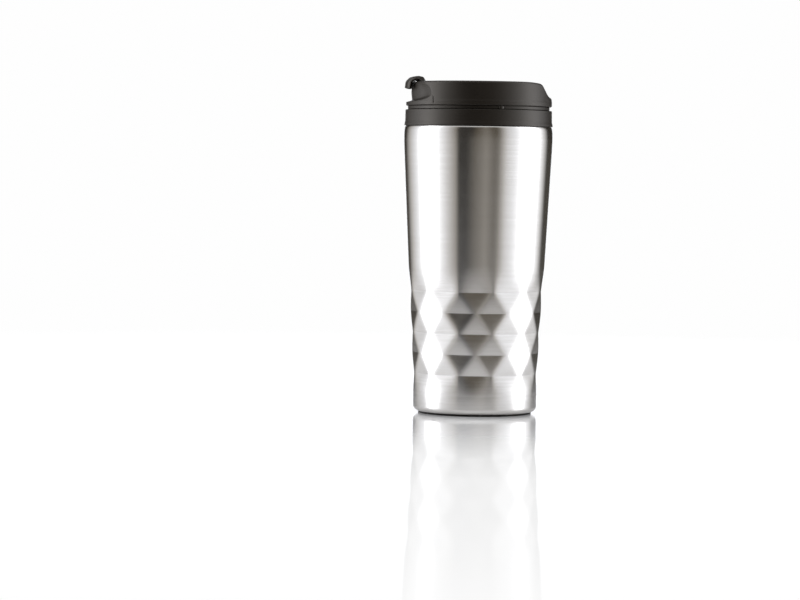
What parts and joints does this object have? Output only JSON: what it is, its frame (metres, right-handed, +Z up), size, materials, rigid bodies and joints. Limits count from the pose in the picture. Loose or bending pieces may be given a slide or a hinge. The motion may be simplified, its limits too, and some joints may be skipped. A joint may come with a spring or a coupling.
{
  "type": "insulated travel mug",
  "caption": "Tall tapered double-wall tumbler with a faceted steel shell, plastic liner and black collar, and a push-on lid with a flip flap and an open bowl.",
  "frame": {"origin": "centre of the round base, on the surface that the mug stands on", "axes": "+Z up along the body; the flap's finger tab is at -X and the open bowl of the lid at +X"},
  "size_m": [0.0804, 0.0804, 0.1808],
  "materials": {
    "brushed_steel": "fine brushing around the body, pressed facets",
    "black_plastic": "satin moulded polypropylene, warm black",
    "liner_plastic": "smooth satin moulded polypropylene",
    "silicone": "soft dark silicone",
    "foot_rubber": "matte anti-slip rubber",
    "pin_steel": "drawn stainless wire"
  },
  "bodies": {
    "mug": {"outer_shell": "brushed_steel", "inner_liner": "liner_plastic", "collar": "black_plastic", "shell_gasket": "silicone", "base_cap": "black_plastic", "base_gasket": "silicone", "foot_pad": "foot_rubber"},
    "lid": {"lid_shell": "black_plastic", "lid_plug": "black_plastic", "lid_seal": "silicone", "flap_hinge_pin": "pin_steel"},
    "flap": {"flap": "black_plastic", "flap_stopper": "silicone"}
  },
  "joints": [
    {"name": "lid_lift", "type": "slide", "parent": "mug", "child": "lid", "axis": [0, 0, 1], "range_m": [0, 0.07]},
    {"name": "flap_hinge", "type": "hinge", "parent": "lid", "child": "flap", "pos_m": [0.0006, 0, 0.1739], "axis": [0, 1, 0], "range_deg": [0, 165]}
  ]
}
